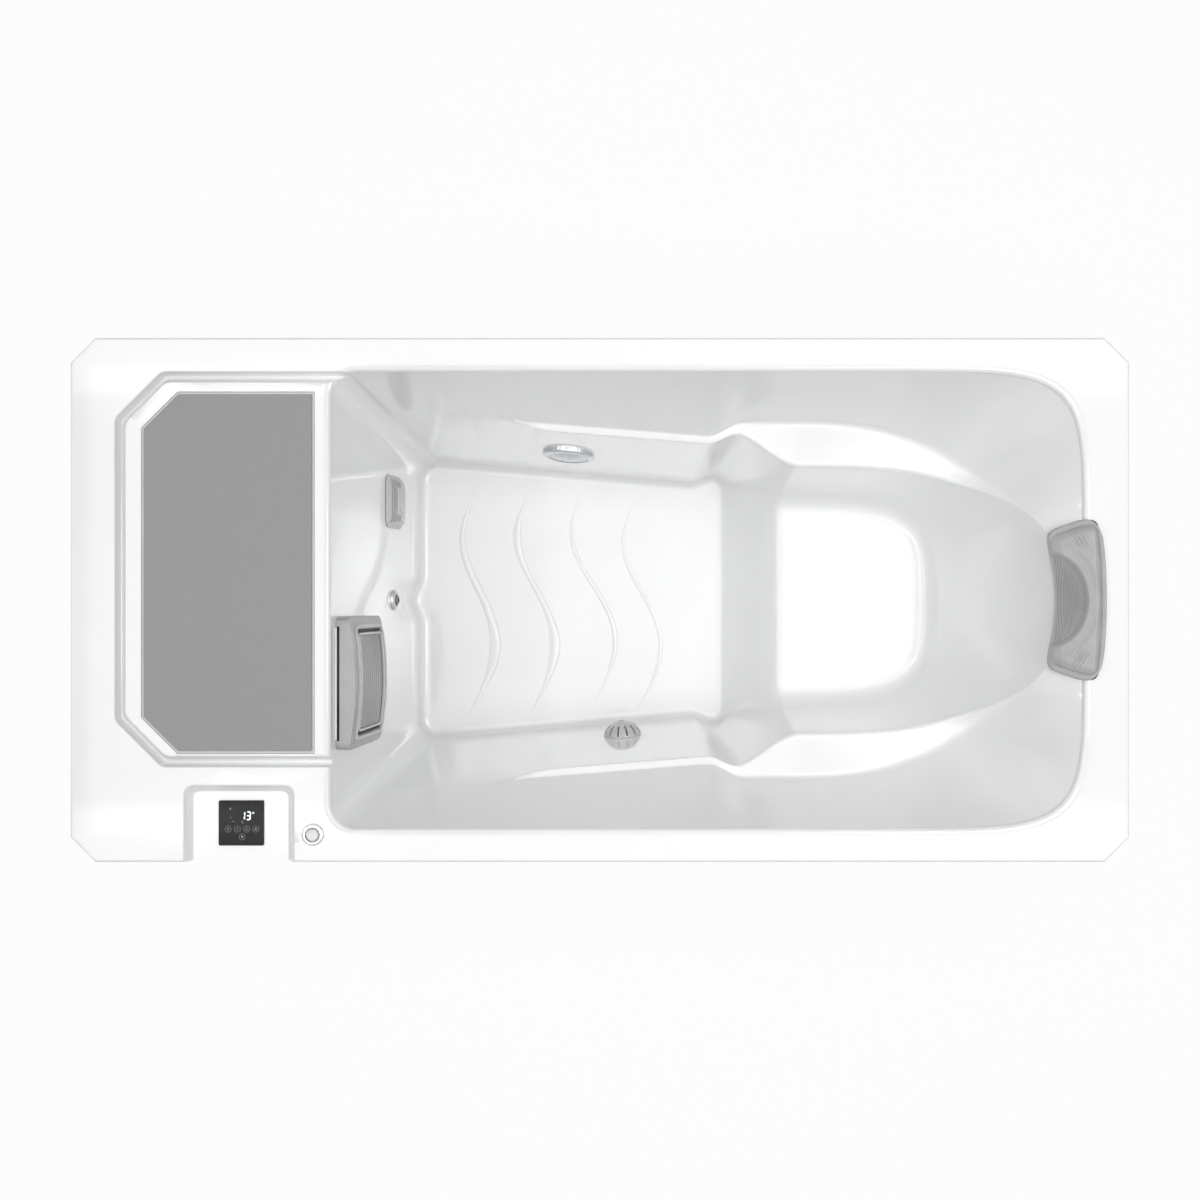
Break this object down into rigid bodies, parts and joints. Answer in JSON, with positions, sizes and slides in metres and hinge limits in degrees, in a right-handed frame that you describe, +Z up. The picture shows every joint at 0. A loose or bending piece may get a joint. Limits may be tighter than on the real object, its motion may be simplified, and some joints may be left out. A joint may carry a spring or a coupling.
{
  "type": "cold plunge tub",
  "caption": "Cold plunge tub with a moulded seat and foot well, skimmer, wall fittings, head pillow, touch panel and a lift-off hatch over its own chiller.",
  "frame": {"origin": "on the floor under the middle of the rim", "axes": "+X towards the head end with the pillow, +Y across the tub, +Z up"},
  "size_m": [2.12, 1.05, 0.8249],
  "materials": {
    "bay_floor": "matt sheet",
    "button_body": "moulded",
    "button_cap": "polished",
    "cabinet_panel": "fine texture, light grey",
    "cable_gland": "moulded",
    "chrome_ring": "polished",
    "circulation_pump": "satin",
    "compressor": "gloss black",
    "condenser": "finned, copper bends",
    "control_body": "moulded",
    "control_box": "moulded",
    "control_glass": "black glass",
    "corner_posts": "anodised",
    "dome_cover": "satin",
    "drain_handle": "dipped red",
    "drain_valve": "nickel",
    "fan_motor": "satin",
    "fan_rotor": "moulded",
    "fan_shroud": "moulded",
    "filter_cartridge": "pleated fleece",
    "fitting_plastic": "moulded",
    "foam_board": "rigid foam",
    "frame_steel": "powder coat",
    "hatch_gasket": "matt",
    "hatch_lid": "satin light grey",
    "hatch_pad": "matt grey",
    "heat_exchanger": "moulded",
    "levelling_feet": "satin",
    "light_housing": "moulded",
    "light_lens": "clear prismatic",
    "light_ring": "satin",
    "nozzle_ball": "satin",
    "ozone_unit": "moulded",
    "pillow": "soft grey foam skin",
    "pillow_pins": "moulded",
    "plywood": "raw plywood",
    "screw_steel": "satin",
    "service_box": "moulded",
    "shell": "polished acrylic white",
    "skimmer_frame": "warm light grey",
    "skimmer_grille": "satin",
    "suction_cover": "satin light grey",
    "vent_grille": "moulded",
    "weir_flap": "satin"
  },
  "bodies": {
    "tub": {"shell": "shell", "front_panel": "cabinet_panel", "back_panel": "cabinet_panel", "head_panel": "cabinet_panel", "foot_panel": "cabinet_panel", "corner_posts": "corner_posts", "lower_rails": "frame_steel", "upper_rails": "frame_steel", "frame_posts": "frame_steel", "levelling_feet": "levelling_feet", "well_bed": "foam_board", "seat_cradle": "plywood", "insulation_boards": "foam_board", "bay_floor": "bay_floor", "deck_packers": "plywood", "panel_screws": "screw_steel", "skimmer_frame": "skimmer_frame", "skimmer_grille": "skimmer_grille", "weir_pin": "screw_steel", "skimmer_body": "fitting_plastic", "filter_cartridge": "filter_cartridge", "suction_cover": "suction_cover", "suction_body": "fitting_plastic", "nozzle_ring": "chrome_ring", "nozzle_body": "fitting_plastic", "light_lens": "light_lens", "light_ring": "light_ring", "light_housing": "light_housing", "dome_cover": "dome_cover", "dome_screw": "screw_steel", "dome_body": "fitting_plastic", "wall_nuts": "fitting_plastic", "control_glass": "control_glass", "control_body": "control_body", "button_ring": "chrome_ring", "button_body": "button_body", "pillow": "pillow", "pillow_pins": "pillow_pins", "hatch_gasket": "hatch_gasket", "condenser": "condenser", "fan_shroud": "fan_shroud", "fan_motor": "fan_motor", "compressor": "compressor", "heat_exchanger": "heat_exchanger", "circulation_pump": "circulation_pump", "ozone_unit": "ozone_unit", "control_box": "control_box", "pipework": "fitting_plastic", "vent_grille": "vent_grille", "service_box": "service_box", "drain_valve": "drain_valve", "cable_gland": "cable_gland"},
    "hatch": {"hatch_lid": "hatch_lid", "hatch_pad": "hatch_pad"},
    "weir": {"weir_flap": "weir_flap"},
    "air_button": {"button_cap": "button_cap"},
    "fan": {"fan_rotor": "fan_rotor"},
    "drain_handle": {"drain_handle": "drain_handle"},
    "nozzle": {"nozzle_ball": "nozzle_ball"}
  },
  "joints": [
    {"name": "hatch_lift", "type": "slide", "parent": "tub", "child": "hatch", "axis": [0, 0, 1], "range_m": [0, 0.35]},
    {"name": "weir_hinge", "type": "hinge", "parent": "tub", "child": "weir", "pos_m": [-0.51336, -0.17, 0.62709], "axis": [0, 1, 0], "range_deg": [-60, 0], "stiffness_Nm_per_rad": 0.1, "springref_deg": 17.19},
    {"name": "air_button_press", "type": "slide", "parent": "tub", "child": "air_button", "axis": [0, 0, -1], "range_m": [0, 0.003], "stiffness_N_per_m": 400, "springref_m": -0.001},
    {"name": "fan_spin", "type": "hinge", "parent": "tub", "child": "fan", "pos_m": [-0.951, 0.12, 0.295], "axis": [1, 0, 0], "continuous": true},
    {"name": "drain_turn", "type": "hinge", "parent": "tub", "child": "drain_handle", "pos_m": [-0.991, -0.395, 0.175], "axis": [0, 0, 1], "range_deg": [0, 90]},
    {"name": "nozzle_tilt", "type": "hinge", "parent": "tub", "child": "nozzle", "pos_m": [-0.48906, 0, 0.37023], "axis": [0, 1, 0], "range_deg": [-20, 20]}
  ]
}
